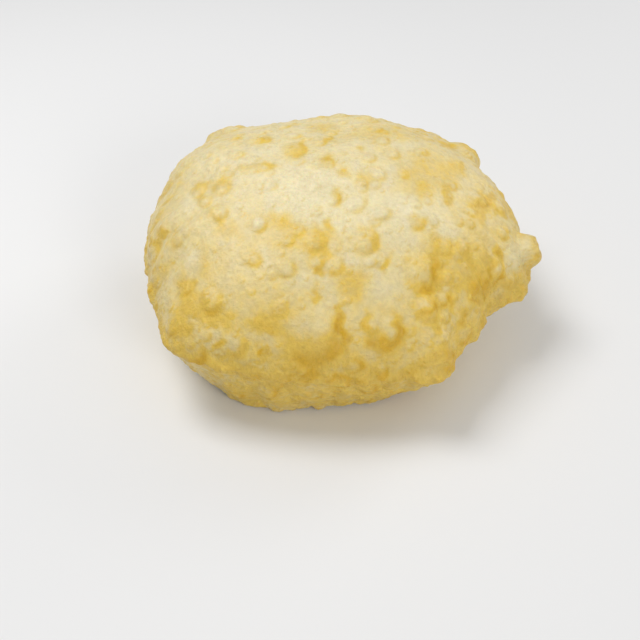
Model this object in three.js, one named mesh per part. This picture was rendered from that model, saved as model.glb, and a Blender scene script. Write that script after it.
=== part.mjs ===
// A bhatura: a flat round of leavened dough that has puffed up in hot oil into one closed, blistered
// balloon. Millimetres, +Z up. +X runs to the pinched right end and +Y to the back. The origin is the
// middle of the flat spot that the bread rests on.

import * as THREE from 'three';

// ---- Body: driving dimensions (mm, slopes as a ratio) ----

// Distance of the rim, where the upper and the lower skin meet, from the upright axis, every 30 degrees
// counter-clockwise from +X.
const RIM_RADII = [106, 108.5, 108, 100.5, 103, 109, 104, 105.5, 98.5, 89.5, 91.5, 96];
// The same for the foot, where the lower skin turns under.
const FOOT_RADII = [66, 62, 58, 54, 58, 64, 72, 85.5, 85.5, 74.5, 74.5, 70];
// How full the lower skin is at the same places: 2 is round, less is drawn in, more is boxy.
const WALL_POWERS = [1.5, 1.9, 2.3, 2.5, 2.3, 2, 1.6, 1.3, 1.45, 1.6, 1.4, 1.3];
// Corners and one dent of the rim: place and half width in degrees, reach in mm.
const RIM_CORNERS = [
  { at: -137, out: 7.5, wide: 6.5 },
  { at: -55.5, out: 11, wide: 5.5 },
  { at: -24, out: -6, wide: 6 },
  { at: -9, out: 6.5, wide: 11 },
  { at: 47.5, out: 8, wide: 8 },
];
const RIM_HEIGHT = 50;
const RIM_SLOPE = { x: -0.03, y: 0.12 };
const DOME_RISE = 50.5;
// How quickly a corner of the rim dies away up the dome and down the wall.
const CORNER_FADE = { dome: 6, wall: 3 };
const FOOT_HEIGHT = 4;
const FOOT_CURVE_SHARE = 0.2;

// ---- Skin: relief (mm, degrees) ----

const LIP = { out: 1.9, half: 2.6, crinkle: 0.45 };
// Waves of the crimping: how many go round the bread, and each one's share.
const CRIMPS = [
  { round: 23, share: 0.5, phase: 1 },
  { round: 41, share: 0.3, phase: 2 },
  { round: 67, share: 0.2, phase: 0 },
];
const FOOT_LIP = { out: 3, half: 2.4, at: -100, wide: 26, crinkle: 0.25, crimpTurn: 1 };
// Stubs where the edge of the dough was pinched: half sizes across and up, how far each stands out, and
// how blunt its end is.
const NUBS = [
  { at: -0.5, lat: 10.5, across: 11, up: 10.5, out: 8, blunt: 7 },
  { at: 40.5, lat: 23, across: 13, up: 12, out: 6, blunt: 4 },
  { at: 133, lat: 20, across: 15, up: 12, out: 4.5, blunt: 3 },
];
const NUB_LIFT = 0.25;
const NUB_POWER = 1.3;
// Blisters and folds in view: azimuth, latitude, half length, half width, turn of the long way from
// level (degrees), rise. A fold that sinks has a rise below nought.
const BLISTERS = [
  [-48, 45.5, 12.5, 8.5, 55, 3],
  [-54, 33, 8, 7, 65, 2.6],
  [-69, 27, 10.5, 6.5, 88, 1.8],
  [-76, 27.5, 8, 4, 90, 1.4],
  [-69.5, 62, 7.8, 7.2, 80, 2.2],
  [-104.5, 62, 6.8, 6.2, 90, 1.3],
  [-140, 61, 5, 4.4, 142, 1.4],
  [-29, 60, 5, 5, 0, 1.4],
  [133, 71, 9, 7, 54, 1.5],
  [-175.6, 54.3, 6.5, 5.6, 0, 1.2],
  [-179, 45, 6, 5, 0, 1.2],
  [-170, 48, 5, 4.4, 0, 1],
  [-97, 80, 5.6, 4.4, 90, 1],
  [-18, 82, 6, 3.6, 20, 0.8],
  [113, 82.5, 5.4, 3.4, 100, 0.8],
  [2, 56, 7.6, 4.6, 0, 1.1],
  [-22.7, 42, 4.6, 4.2, 0, 1],
  [-97, 27, 18, 13, 90, 1.7],
  [-87, 27, 12, 3, 90, -1.4],
  [-73.4, 7, 5.4, 3.6, 90, 1.4],
  [-99, 6.5, 4, 3.6, 0, 1],
  [171.5, 65, 10.5, 4.4, 95, 1],
  [-18, 23.4, 7, 4.8, 55, 1.8],
  [-4, 31, 5, 4.4, 0, 1],
  [-53.6, 11, 8, 6, 90, 1.4],
  [-110, 35, 4.6, 4.4, 0, 0.8],
  [19, 20, 4.6, 4, 0, 1.4],
  [118, 47, 4.6, 4, 0, 1.4],
  [-176, 14, 6, 5, 90, 1.3],
];
const BLISTER_POWER = 1.5;
// Smaller blisters over the rest of the skin, down to the lowest latitude. A half length lies between
// least and most. The narrowest width, the rise and the gap between two are shares of that size.
const SCATTER = { count: 170, tries: 5000, lowest: -40, least: 3.6, most: 8.4 };
const SCATTER_SHARES = { slim: 0.66, rise: 0.2, gap: 0.85 };
// Soft pleats: wave length in degrees of azimuth, height, and the middle and half size of the patch.
const PLEATS = [
  { wave: 6, rise: 0.8, at: -18, wide: 13, lat: 18, tall: 14 },
  { wave: 11, rise: 1.1, at: -162, wide: 14, lat: 28, tall: 16 },
  { wave: 8, rise: 0.7, at: -70, wide: 22, lat: -14, tall: 10 },
  { wave: 13, rise: 1, at: -112, wide: 26, lat: -26, tall: 14 },
];
// Broad swellings and hollows of the balloon: place and half sizes in degrees.
const SWELLINGS = [
  { at: 25, lat: 50, wide: 16, tall: 18, rise: 0.7 },
  { at: 92, lat: 58, wide: 18, tall: 16, rise: -2 },
  { at: 128, lat: 48, wide: 14, tall: 16, rise: -4.2 },
  { at: 158, lat: 45, wide: 15, tall: 18, rise: 2.3 },
  { at: -172, lat: 40, wide: 15, tall: 18, rise: 1.6 },
];
const UNEVEN = { waves: 7, shortest: 34, longest: 76, rise: 0.42 };
const SEED = 20417;

// ---- Mesh ----

// Distance between two places of a row (mm), and the fewest of them.
const SPACING = 4.5;
const FEWEST_IN_ROW = 6;
const DOME_ROWS = 36;
const WALL_ROWS = 11;
const FOOT_ROWS = 3;
// The part of the lower latitudes that the wall takes up. The turn under to the flat spot has the rest.
const WALL_SHARE = 0.62;
// Half the stretch over which the directions along the skin are measured (degrees).
const PROBE = 0.2;

const RIGHT_ANGLE = Math.PI / 2;
const TURN = 2 * Math.PI;
const radians = THREE.MathUtils.degToRad;
const bell = (x) => Math.exp(-0.5 * x * x);
const smooth = (x) => THREE.MathUtils.smoothstep(x, 0, 1);

// The smallest turn from one azimuth to another, -PI to PI.
function turnBetween(from, to) {
  return THREE.MathUtils.euclideanModulo(to - from + Math.PI, TURN) - Math.PI;
}

// A smooth closed curve through values at equal angles: a trigonometric polynomial.
function roundCurve(values, azimuth) {
  const half = values.length / 2;
  let sum = 0;
  values.forEach((value, i) => {
    const angle = azimuth - (TURN * i) / values.length;
    let share = 1 + Math.cos(half * angle);
    for (let k = 1; k < half; k++) share += 2 * Math.cos(k * angle);
    sum += (value * share) / values.length;
  });
  return sum;
}

function rimCorner(azimuth) {
  return RIM_CORNERS.reduce(
    (sum, c) => sum + c.out * bell(turnBetween(radians(c.at), azimuth) / radians(c.wide)),
    0,
  );
}

function rimHeight(azimuth, radius) {
  return RIM_HEIGHT + (RIM_SLOPE.x * Math.cos(azimuth) + RIM_SLOPE.y * Math.sin(azimuth)) * radius;
}

// The upper skin: an ellipse in section, from the rim (latitude 0) to the crown.
function domePoint(azimuth, latitude) {
  const level = Math.cos(latitude);
  const plain = roundCurve(RIM_RADII, azimuth) * level;
  const radius = plain + rimCorner(azimuth) * level ** CORNER_FADE.dome;
  const height = rimHeight(azimuth, plain) + DOME_RISE * Math.sin(latitude);
  return new THREE.Vector3(radius * Math.cos(azimuth), radius * Math.sin(azimuth), height);
}

// The lower skin: a wall from the rim to the foot, then a short curve under to the flat spot.
function lowerPoint(azimuth, latitude) {
  const down = -latitude / RIGHT_ANGLE;
  const wall = Math.min(down / WALL_SHARE, 1) * RIGHT_ANGLE;
  const under = Math.max((down - WALL_SHARE) / (1 - WALL_SHARE), 0);
  const rim = roundCurve(RIM_RADII, azimuth);
  const foot = roundCurve(FOOT_RADII, azimuth);
  const power = 2 / roundCurve(WALL_POWERS, azimuth);
  const inward = Math.cos(wall) ** power;
  const drop = Math.sin(wall) ** power;
  const corner = rimCorner(azimuth) * inward ** CORNER_FADE.wall;
  const radius = (foot + (rim - foot) * inward + corner) * (1 - under);
  const wallHeight = FOOT_HEIGHT + (rimHeight(azimuth, rim) - FOOT_HEIGHT) * (1 - drop);
  const height = wallHeight - FOOT_HEIGHT * smooth(under / FOOT_CURVE_SHARE);
  return new THREE.Vector3(radius * Math.cos(azimuth), radius * Math.sin(azimuth), height);
}

function bodyPoint(azimuth, latitude) {
  return latitude < 0 ? lowerPoint(azimuth, latitude) : domePoint(azimuth, latitude);
}

// A place on the body with its level and upward directions along the skin, and its outward one.
function placeAt(azimuthDegrees, latitudeDegrees) {
  const azimuth = radians(azimuthDegrees);
  const latitude = radians(latitudeDegrees);
  const step = radians(PROBE);
  const level = bodyPoint(azimuth + step, latitude).sub(bodyPoint(azimuth - step, latitude)).normalize();
  const upward = bodyPoint(azimuth, latitude + step).sub(bodyPoint(azimuth, latitude - step)).normalize();
  const outward = new THREE.Vector3().crossVectors(level, upward).normalize();
  return { point: bodyPoint(azimuth, latitude), level, upward, outward };
}

// Repeatable random numbers from 0 to 1.
function randomNumbers(seed) {
  const modulus = 4294967296;
  let state = seed;
  return () => {
    state = (state * 1664525 + 1013904223) % modulus;
    return state / modulus;
  };
}

function blisterAt([azimuth, latitude, long, short, turn, rise]) {
  const { point, level, upward } = placeAt(azimuth, latitude);
  const angle = radians(turn);
  const along = level.clone().multiplyScalar(Math.cos(angle)).addScaledVector(upward, Math.sin(angle));
  const across = upward.clone().multiplyScalar(Math.cos(angle)).addScaledVector(level, -Math.sin(angle));
  return { point, along, across, long, short, rise };
}

// The smaller blisters, clear of the ones already there.
function scatteredBlisters(placed, random) {
  const { slim, rise, gap } = SCATTER_SHARES;
  const found = [];
  const lowest = Math.sin(radians(SCATTER.lowest));
  for (let i = 0; i < SCATTER.tries && found.length < SCATTER.count; i++) {
    const azimuth = 360 * random() - 180;
    const latitude = THREE.MathUtils.radToDeg(Math.asin(lowest + (1 - lowest) * random()));
    const long = SCATTER.least + (SCATTER.most - SCATTER.least) * random() ** 2;
    const short = long * (slim + (1 - slim) * random());
    const blister = blisterAt([azimuth, latitude, long, short, 180 * random(), rise * short]);
    const clear = [...placed, ...found].every(
      (other) => other.point.distanceTo(blister.point) > gap * (other.long + long),
    );
    if (clear) found.push(blister);
  }
  return found;
}

function blisterHeight(blisters, point) {
  const offset = new THREE.Vector3();
  return blisters.reduce((sum, b) => {
    offset.subVectors(point, b.point);
    if (offset.lengthSq() > b.long * b.long) return sum;
    const reach = (offset.dot(b.along) / b.long) ** 2 + (offset.dot(b.across) / b.short) ** 2;
    return reach < 1 ? sum + b.rise * (1 - reach) ** BLISTER_POWER : sum;
  }, 0);
}

// Long shallow waves that keep the balloon from being regular.
function unevenWaves(random) {
  return Array.from({ length: UNEVEN.waves }, () => {
    const length = UNEVEN.shortest + (UNEVEN.longest - UNEVEN.shortest) * random();
    const azimuth = TURN * random();
    const climb = 2 * random() - 1;
    const flat = Math.sqrt(1 - climb * climb);
    const way = new THREE.Vector3(flat * Math.cos(azimuth), flat * Math.sin(azimuth), climb);
    return { way: way.multiplyScalar(TURN / length), phase: TURN * random() };
  });
}

function waveHeight(waves, point) {
  return waves.reduce((sum, w) => sum + UNEVEN.rise * Math.sin(w.way.dot(point) + w.phase), 0);
}

// The turn from the middle of a patch, and how far a place belongs to the patch, 1 at its middle.
function patchAt({ at, lat, wide, tall }, azimuth, latitude) {
  const aside = turnBetween(radians(at), azimuth);
  const above = latitude - radians(lat);
  return { aside, share: bell(aside / radians(wide)) * bell(above / radians(tall)) };
}

function pleatHeight(azimuth, latitude) {
  return PLEATS.reduce((sum, pleat) => {
    const { aside, share } = patchAt(pleat, azimuth, latitude);
    return sum + pleat.rise * share * Math.sin((TURN * aside) / radians(pleat.wave));
  }, 0);
}

function swellingHeight(azimuth, latitude) {
  return SWELLINGS.reduce((sum, s) => sum + s.rise * patchAt(s, azimuth, latitude).share, 0);
}

// Uneven crimping along the rim and the foot, -1 to 1.
function crimp(azimuth) {
  return CRIMPS.reduce((sum, c) => sum + c.share * Math.sin(c.round * azimuth + c.phase), 0);
}

function lipHeight(azimuth, height) {
  const rim = rimHeight(azimuth, roundCurve(RIM_RADII, azimuth));
  const lip = LIP.out * bell((height - rim) / LIP.half) * (1 + LIP.crinkle * crimp(azimuth));
  const aside = turnBetween(radians(FOOT_LIP.at), azimuth) / radians(FOOT_LIP.wide);
  const foot = bell(aside) * bell((height - FOOT_HEIGHT) / FOOT_LIP.half);
  return lip + FOOT_LIP.out * foot * (1 + FOOT_LIP.crinkle * crimp(azimuth + FOOT_LIP.crimpTurn));
}

// A stub stands straight out along one direction, with steep sides and a blunt end.
function nubShift(nubs, point) {
  const offset = new THREE.Vector3();
  const shift = new THREE.Vector3();
  for (const nub of nubs) {
    offset.subVectors(point, nub.point);
    const reach = Math.hypot(offset.dot(nub.level) / nub.across, offset.dot(nub.upward) / nub.up);
    if (reach < 1 && offset.length() < nub.across + nub.up) {
      shift.addScaledVector(nub.way, nub.out * (1 - reach ** nub.blunt) ** NUB_POWER);
    }
  }
  return shift;
}

function nubAt(nub) {
  const place = placeAt(nub.at, nub.lat);
  const way = new THREE.Vector3(place.outward.x, place.outward.y, NUB_LIFT).normalize();
  return { ...nub, ...place, way };
}

// ---- Rows of the mesh: each is a ring of places at one latitude, from the foot up to the crown ----

function latitudes() {
  const foot = -RIGHT_ANGLE * (WALL_SHARE + (1 - WALL_SHARE) * FOOT_CURVE_SHARE);
  const wallEnd = -RIGHT_ANGLE * WALL_SHARE;
  const rows = [];
  for (let i = 0; i < FOOT_ROWS; i++) rows.push(foot + ((wallEnd - foot) * i) / FOOT_ROWS);
  for (let i = 0; i < WALL_ROWS; i++) rows.push(wallEnd * (1 - i / WALL_ROWS));
  for (let i = 0; i < DOME_ROWS; i++) rows.push((RIGHT_ANGLE * i) / DOME_ROWS);
  return rows;
}

// Every second row is turned by half a place.
const stagger = (row) => (row % 2) / 2;

function ringOf(latitude, row) {
  const meanRadius = (bodyPoint(0, latitude).x + bodyPoint(RIGHT_ANGLE, latitude).y) / 2;
  const count = Math.max(FEWEST_IN_ROW, Math.round((TURN * meanRadius) / SPACING));
  return Array.from({ length: count }, (_, i) => {
    const azimuth = (TURN * (i + stagger(row))) / count;
    return { azimuth, latitude, point: bodyPoint(azimuth, latitude) };
  });
}

// Triangles between two rings that may differ in count, always closing the nearer pair.
function stitch(lower, upper, faces) {
  let i = 0;
  let j = 0;
  while (i < lower.ids.length || j < upper.ids.length) {
    const a = lower.ids[i % lower.ids.length];
    const b = upper.ids[j % upper.ids.length];
    const nextLower = lower.start + (i + 1) / lower.ids.length;
    const nextUpper = upper.start + (j + 1) / upper.ids.length;
    if (j >= upper.ids.length || (i < lower.ids.length && nextLower <= nextUpper)) {
      i += 1;
      faces.push(a, lower.ids[i % lower.ids.length], b);
    } else {
      j += 1;
      faces.push(a, upper.ids[j % upper.ids.length], b);
    }
  }
}

// The rings closed into one body, by a flat face below and a fan round the crown above.
function closedFaces(rings) {
  const faces = [];
  let first = 0;
  const rows = rings.map((ring, row) => {
    const ids = ring.map((_, i) => first + i);
    first += ring.length;
    return { ids, start: stagger(row) / ring.length };
  });
  for (let r = 1; r < rows.length; r++) stitch(rows[r - 1], rows[r], faces);
  const top = rows[rows.length - 1].ids;
  top.forEach((id, i) => faces.push(id, top[(i + 1) % top.length], first));
  const base = rows[0].ids;
  for (let i = 1; i < base.length - 1; i++) faces.push(base[0], base[i + 1], base[i]);
  return faces;
}

// All that lies on the smooth body, with the random parts drawn in a fixed order.
function skinRelief() {
  const random = randomNumbers(SEED);
  const waves = unevenWaves(random);
  const named = BLISTERS.map(blisterAt);
  return { waves, blisters: [...named, ...scatteredBlisters(named, random)], nubs: NUBS.map(nubAt) };
}

function reliefHeight(skin, { azimuth, latitude, point }) {
  const under = Math.max((-latitude / RIGHT_ANGLE - WALL_SHARE) / (1 - WALL_SHARE), 0);
  const hold = 1 - smooth(under / FOOT_CURVE_SHARE);
  const bumps = blisterHeight(skin.blisters, point) + waveHeight(skin.waves, point);
  const folds = pleatHeight(azimuth, latitude) + lipHeight(azimuth, point.z);
  return hold * (bumps + folds + swellingHeight(azimuth, latitude));
}

function breadGeometry() {
  const rings = latitudes().map(ringOf);
  const crown = { azimuth: 0, latitude: RIGHT_ANGLE, point: domePoint(0, RIGHT_ANGLE) };
  const places = [...rings.flat(), crown];
  const positions = new Float32Array(places.flatMap((place) => place.point.toArray()));
  const geometry = new THREE.BufferGeometry();
  geometry.setIndex(closedFaces(rings));
  geometry.setAttribute('position', new THREE.BufferAttribute(positions, 3));
  geometry.computeVertexNormals();

  // each place of the smooth body moves along its own normal, and none goes below the flat spot
  const skin = skinRelief();
  const normal = new THREE.Vector3();
  places.forEach((place, i) => {
    normal.fromBufferAttribute(geometry.attributes.normal, i);
    const moved = place.point.clone().addScaledVector(normal, reliefHeight(skin, place));
    moved.add(nubShift(skin.nubs, place.point));
    geometry.attributes.position.setXYZ(i, moved.x, moved.y, Math.max(moved.z, 0));
  });
  geometry.computeVertexNormals();
  return geometry;
}

const crust = new THREE.MeshStandardMaterial({ color: 0xe3cd92, roughness: 0.5, metalness: 0 });

const bhatura = new THREE.Mesh(breadGeometry(), crust);
bhatura.name = 'bhatura';

const part = new THREE.Group();
part.name = 'puffed_bread';
part.add(bhatura);

export default part;
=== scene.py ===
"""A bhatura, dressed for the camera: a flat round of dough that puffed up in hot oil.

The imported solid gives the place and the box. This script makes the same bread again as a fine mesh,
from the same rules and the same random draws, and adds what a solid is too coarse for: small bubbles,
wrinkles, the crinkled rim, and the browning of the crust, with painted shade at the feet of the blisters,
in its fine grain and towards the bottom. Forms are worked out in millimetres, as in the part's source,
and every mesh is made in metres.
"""

import logging
import math
from collections.abc import Callable, Iterable, Sequence
from dataclasses import dataclass
from enum import Enum
from typing import Any

import bpy
import numpy as np
from mathutils import Matrix, Vector


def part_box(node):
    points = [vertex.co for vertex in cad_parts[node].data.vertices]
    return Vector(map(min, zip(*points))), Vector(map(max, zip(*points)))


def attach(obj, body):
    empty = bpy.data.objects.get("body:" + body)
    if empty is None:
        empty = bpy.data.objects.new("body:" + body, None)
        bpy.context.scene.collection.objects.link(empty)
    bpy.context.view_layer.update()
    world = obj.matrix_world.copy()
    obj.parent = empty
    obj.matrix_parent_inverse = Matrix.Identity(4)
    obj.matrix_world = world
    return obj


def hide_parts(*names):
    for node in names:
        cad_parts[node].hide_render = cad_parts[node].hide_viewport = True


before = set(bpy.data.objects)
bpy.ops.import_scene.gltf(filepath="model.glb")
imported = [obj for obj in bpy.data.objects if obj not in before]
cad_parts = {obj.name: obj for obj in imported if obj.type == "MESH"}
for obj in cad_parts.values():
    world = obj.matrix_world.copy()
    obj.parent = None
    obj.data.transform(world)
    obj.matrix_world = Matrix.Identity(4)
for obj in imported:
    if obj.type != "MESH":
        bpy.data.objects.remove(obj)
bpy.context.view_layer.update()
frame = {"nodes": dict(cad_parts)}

log = logging.getLogger("bhatura")

MM = 0.001
RIGHT_ANGLE = math.pi / 2
TINY = 1e-6

# Painted shade: the foot of each blister is coloured deeper on this side, away from the light, from the
# first to the second cosine.
PAINTED_SHADE_WAY = (0.72, -0.35, -0.6)
PAINTED_SHADE_TURN = (-0.1, 0.8)

Array = np.ndarray
Colour = tuple[float, float, float, float]


# --- Small sums ---


def bell(x: Array) -> Array:
    """Return the bell curve of x, 1 at nought."""
    return np.exp(-0.5 * np.square(x))


def smooth(x: Array, low: float = 0.0, high: float = 1.0) -> Array:
    """Return a soft step of x from 0 at low to 1 at high."""
    share = np.clip((x - low) / (high - low), 0.0, 1.0)
    return share * share * (3 - 2 * share)


def turn_between(start: float, end: Array) -> Array:
    """Return the smallest turn from start to end, -pi to pi."""
    return np.mod(end - start + math.pi, math.tau) - math.pi


def unit(vectors: Array) -> Array:
    """Return the vectors (along the last axis) at length one."""
    return vectors / np.linalg.norm(vectors, axis=-1, keepdims=True)


def round_curve(values: Sequence[float], azimuth: Array) -> Array:
    """Return a smooth closed curve through values at equal angles.

    Args:
        values: The curve's values, an even number, the first at azimuth 0.
        azimuth: Where to read it, in radians.

    Returns:
        The trigonometric polynomial through the values, at each azimuth.
    """
    half = len(values) // 2
    total = np.zeros_like(azimuth)
    for i, value in enumerate(values):
        angle = azimuth - math.tau * i / len(values)
        share = 1 + np.cos(half * angle)
        for k in range(1, half):
            share = share + 2 * np.cos(k * angle)
        total = total + value * share / len(values)
    return total


class Draws:
    """Repeatable random numbers from 0 to 1, the same ones as in the part's source."""

    MULTIPLIER = 1664525
    INCREMENT = 1013904223
    MODULUS = 2**32

    def __init__(self, seed: int) -> None:
        """Start the row of numbers from a seed."""
        self.state = seed

    def __call__(self) -> float:
        """Return the next number."""
        self.state = (self.state * self.MULTIPLIER + self.INCREMENT) % self.MODULUS
        return self.state / self.MODULUS


# --- The smooth form ---


@dataclass(frozen=True)
class Corner:
    """A corner of the rim, or a dent where its reach is below nought (degrees, mm)."""

    at: float
    reach: float
    wide: float


@dataclass(frozen=True)
class Places:
    """Points of the skin with the directions along it and out of it."""

    point: Array
    level: Array
    upward: Array
    outward: Array


@dataclass(frozen=True)
class Form:
    """The smooth form of the bread: a domed upper skin and a drawn-in lower one (mm).

    A place on it has an azimuth, counter-clockwise from +X, and a latitude: nought at the rim where
    the two skins meet, 90 degrees at the crown, and below nought on the lower skin.
    """

    rim_radii: tuple[float, ...] = (106, 108.5, 108, 100.5, 103, 109, 104, 105.5, 98.5, 89.5, 91.5, 96)
    foot_radii: tuple[float, ...] = (66, 62, 58, 54, 58, 64, 72, 85.5, 85.5, 74.5, 74.5, 70)
    wall_powers: tuple[float, ...] = (1.5, 1.9, 2.3, 2.5, 2.3, 2, 1.6, 1.3, 1.45, 1.6, 1.4, 1.3)
    corners: tuple[Corner, ...] = (
        Corner(-137, 7.5, 6.5),
        Corner(-55.5, 11, 5.5),
        Corner(-24, -6, 6),
        Corner(-9, 6.5, 11),
        Corner(47.5, 8, 8),
    )
    rim_height: float = 50
    rim_slope_x: float = -0.03
    rim_slope_y: float = 0.12
    dome_rise: float = 50.5
    corner_fade_dome: float = 6
    corner_fade_wall: float = 3
    foot_height: float = 4
    wall_share: float = 0.62
    foot_curve_share: float = 0.2
    probe: float = 0.2

    def corner_reach(self, azimuth: Array) -> Array:
        """Work out how far the corners push the rim out.

        Args:
            azimuth: In radians.

        Returns:
            The reach at each azimuth.
        """
        reach = np.zeros_like(azimuth)
        for corner in self.corners:
            aside = turn_between(math.radians(corner.at), azimuth)
            reach = reach + corner.reach * bell(aside / math.radians(corner.wide))
        return reach

    def height_of_rim(self, azimuth: Array, radius: Array) -> Array:
        """Return the height of the tilted plane of the rim, at a distance from the upright axis."""
        slope = self.rim_slope_x * np.cos(azimuth) + self.rim_slope_y * np.sin(azimuth)
        return self.rim_height + slope * radius

    def rim_level(self, azimuth: Array) -> Array:
        """Return the height of the rim itself at each azimuth."""
        return self.height_of_rim(azimuth, round_curve(self.rim_radii, azimuth))

    def under_share(self, latitude: Array) -> Array:
        """Return how far a place has turned under towards the middle of the base, 0 to 1."""
        down = -latitude / RIGHT_ANGLE
        return np.maximum((down - self.wall_share) / (1 - self.wall_share), 0)

    def points(self, azimuth: Array, latitude: Array) -> Array:
        """Return the points of the smooth form.

        Args:
            azimuth: In radians.
            latitude: In radians, of the same shape.

        Returns:
            The points, with x, y and z along a new last axis.
        """
        rim = round_curve(self.rim_radii, azimuth)
        corner = self.corner_reach(azimuth)

        level = np.cos(latitude)
        plain = rim * level
        dome_radius = plain + corner * np.power(np.abs(level), self.corner_fade_dome)
        dome_height = self.height_of_rim(azimuth, plain) + self.dome_rise * np.sin(latitude)

        down = np.maximum(-latitude / RIGHT_ANGLE, 0)
        wall = np.minimum(down / self.wall_share, 1) * RIGHT_ANGLE
        under = self.under_share(latitude)
        foot = round_curve(self.foot_radii, azimuth)
        power = 2 / round_curve(self.wall_powers, azimuth)
        inward = np.power(np.abs(np.cos(wall)), power)
        drop = np.power(np.sin(wall), power)
        low_radius = foot + (rim - foot) * inward + corner * inward**self.corner_fade_wall
        low_radius = low_radius * (1 - under)
        low_height = self.foot_height + (self.height_of_rim(azimuth, rim) - self.foot_height) * (1 - drop)
        low_height = low_height - self.foot_height * smooth(under / self.foot_curve_share)

        lower = latitude < 0
        radius = np.where(lower, low_radius, dome_radius)
        height = np.where(lower, low_height, dome_height)
        return np.stack([radius * np.cos(azimuth), radius * np.sin(azimuth), height], axis=-1)

    def places(self, azimuth_degrees: Array, latitude_degrees: Array) -> Places:
        """Return points with their directions along the skin.

        Args:
            azimuth_degrees: Where they are round the bread.
            latitude_degrees: Where they are up and down.

        Returns:
            The places, their level direction towards greater azimuths and the upward one to the crown.
        """
        azimuth = np.radians(np.asarray(azimuth_degrees, float))
        latitude = np.radians(np.asarray(latitude_degrees, float))
        step = math.radians(self.probe)
        level = unit(self.points(azimuth + step, latitude) - self.points(azimuth - step, latitude))
        upward = unit(self.points(azimuth, latitude + step) - self.points(azimuth, latitude - step))
        outward = unit(np.cross(level, upward))
        return Places(self.points(azimuth, latitude), level, upward, outward)


# --- What stands on the form ---


@dataclass(frozen=True)
class Blister:
    """A blister or pad of the skin, or a fold where its rise is below nought (degrees, mm)."""

    azimuth: float
    latitude: float
    long: float
    short: float
    turn: float
    rise: float


@dataclass(frozen=True)
class Nub:
    """A stub where the edge of the dough was pinched (degrees, half sizes and reach in mm)."""

    azimuth: float
    latitude: float
    across: float
    up: float
    out: float
    blunt: float


@dataclass(frozen=True)
class Swelling:
    """A broad swelling of the balloon, or a hollow with a rise below nought (degrees, mm)."""

    at: float
    lat: float
    wide: float
    tall: float
    rise: float

    def aside(self, azimuth: Array) -> Array:
        """Return the turn from its middle to each azimuth."""
        return turn_between(math.radians(self.at), azimuth)

    def height(self, azimuth: Array, latitude: Array) -> Array:
        """Lift the skin.

        Args:
            azimuth: Of each place, in radians.
            latitude: Of each place, in radians.

        Returns:
            How far each place is lifted.
        """
        above = latitude - math.radians(self.lat)
        share = bell(self.aside(azimuth) / math.radians(self.wide)) * bell(above / math.radians(self.tall))
        return self.rise * share


@dataclass(frozen=True)
class Pleat(Swelling):
    """A patch of soft parallel pleats, a wave apart (degrees)."""

    wave: float

    def height(self, azimuth: Array, latitude: Array) -> Array:
        """Return how far the pleats lift the skin at each place."""
        ripple = np.sin(math.tau * self.aside(azimuth) / math.radians(self.wave))
        return super().height(azimuth, latitude) * ripple


class Tone(Enum):
    """Which way a patch of the crust departs from the plain colour."""

    GOLD = "gold"
    PALE = "pale"


@dataclass(frozen=True)
class Mark:
    """A patch of the crust where the photograph shows it: an oval (pixels, degrees, 0 to 1).

    Its middle is given right and down from the photograph's upper left corner, and its turn from level
    is counter-clockwise.
    """

    x: float
    y: float
    half_wide: float
    half_tall: float
    strength: float
    turn: float = 0.0


BLISTERS = tuple(
    Blister(*row)
    for row in (
        (-48, 45.5, 12.5, 8.5, 55, 3),
        (-54, 33, 8, 7, 65, 2.6),
        (-69, 27, 10.5, 6.5, 88, 1.8),
        (-76, 27.5, 8, 4, 90, 1.4),
        (-69.5, 62, 7.8, 7.2, 80, 2.2),
        (-104.5, 62, 6.8, 6.2, 90, 1.3),
        (-140, 61, 5, 4.4, 142, 1.4),
        (-29, 60, 5, 5, 0, 1.4),
        (133, 71, 9, 7, 54, 1.5),
        (-175.6, 54.3, 6.5, 5.6, 0, 1.2),
        (-179, 45, 6, 5, 0, 1.2),
        (-170, 48, 5, 4.4, 0, 1),
        (-97, 80, 5.6, 4.4, 90, 1),
        (-18, 82, 6, 3.6, 20, 0.8),
        (113, 82.5, 5.4, 3.4, 100, 0.8),
        (2, 56, 7.6, 4.6, 0, 1.1),
        (-22.7, 42, 4.6, 4.2, 0, 1),
        (-97, 27, 18, 13, 90, 1.7),
        (-87, 27, 12, 3, 90, -1.4),
        (-73.4, 7, 5.4, 3.6, 90, 1.4),
        (-99, 6.5, 4, 3.6, 0, 1),
        (171.5, 65, 10.5, 4.4, 95, 1),
        (-18, 23.4, 7, 4.8, 55, 1.8),
        (-4, 31, 5, 4.4, 0, 1),
        (-53.6, 11, 8, 6, 90, 1.4),
        (-110, 35, 4.6, 4.4, 0, 0.8),
        (19, 20, 4.6, 4, 0, 1.4),
        (118, 47, 4.6, 4, 0, 1.4),
        (-176, 14, 6, 5, 90, 1.3),
    )
)

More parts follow.
